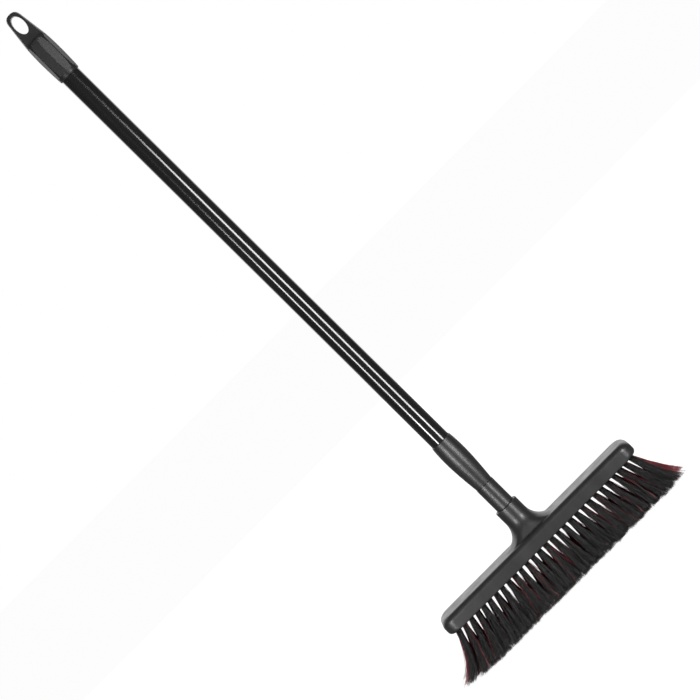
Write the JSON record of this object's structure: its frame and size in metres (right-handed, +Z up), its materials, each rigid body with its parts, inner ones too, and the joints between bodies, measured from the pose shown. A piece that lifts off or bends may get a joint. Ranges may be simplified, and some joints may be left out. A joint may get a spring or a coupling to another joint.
{
  "type": "telescopic broom",
  "caption": "Indoor broom: tufted head with a screw socket, telescopic steel handle with an inner cam lock and tapered collar, fluted end cap with an oval hanging hole.",
  "frame": {"origin": "centre of the bristle tips, on the floor that the broom stands on", "axes": "+Z up the handle, +X along the head, -Y the front"},
  "size_m": [0.3444, 0.0702, 0.9194],
  "materials": {
    "grey_plastic": "matte moulded",
    "black_paint": "gloss paint over steel",
    "black_bristle": "dull fibre",
    "red_bristle": "dull fibre",
    "nylon": "natural nylon",
    "zinc_steel": "zinc plated"
  },
  "bodies": {
    "head": {"head_block": "grey_plastic", "front_black_tufts": "black_bristle", "front_red_tufts": "red_bristle", "rear_red_tufts": "red_bristle", "rear_black_tufts": "black_bristle", "front_black_staples": "zinc_steel", "front_red_staples": "zinc_steel", "rear_red_staples": "zinc_steel", "rear_black_staples": "zinc_steel"},
    "lower_handle": {"inner_tube": "black_paint", "threaded_tip": "grey_plastic", "lock_plug": "nylon", "plug_washer": "zinc_steel", "plug_screw": "zinc_steel"},
    "lock_glide": {"glide_ring": "nylon"},
    "lock_cam": {"cam_ring": "nylon"},
    "upper_handle": {"outer_tube": "black_paint", "lock_collar": "grey_plastic", "guide_bush": "nylon", "hang_cap": "grey_plastic"}
  },
  "joints": [
    {"name": "head_screw", "type": "hinge", "parent": "head", "child": "lower_handle", "pos_m": [0, 0, 0.12], "axis": [0, 0, 1], "range_deg": [0, 1800]},
    {"name": "twist_lock", "type": "hinge", "parent": "lower_handle", "child": "lock_glide", "pos_m": [0, 0, 0.6759], "axis": [0, 0, 1], "range_deg": [0, 90]},
    {"name": "cam_turn", "type": "hinge", "parent": "lower_handle", "child": "lock_cam", "pos_m": [0.00053, 0, 0.6759], "axis": [0, 0, 1], "range_deg": [0, 90]},
    {"name": "telescope", "type": "slide", "parent": "lock_glide", "child": "upper_handle", "axis": [0, 0, 1], "range_m": [0, 0.46]}
  ],
  "couplings": [
    {"joint": "cam_turn", "follows": "twist_lock", "ratio": 1}
  ]
}
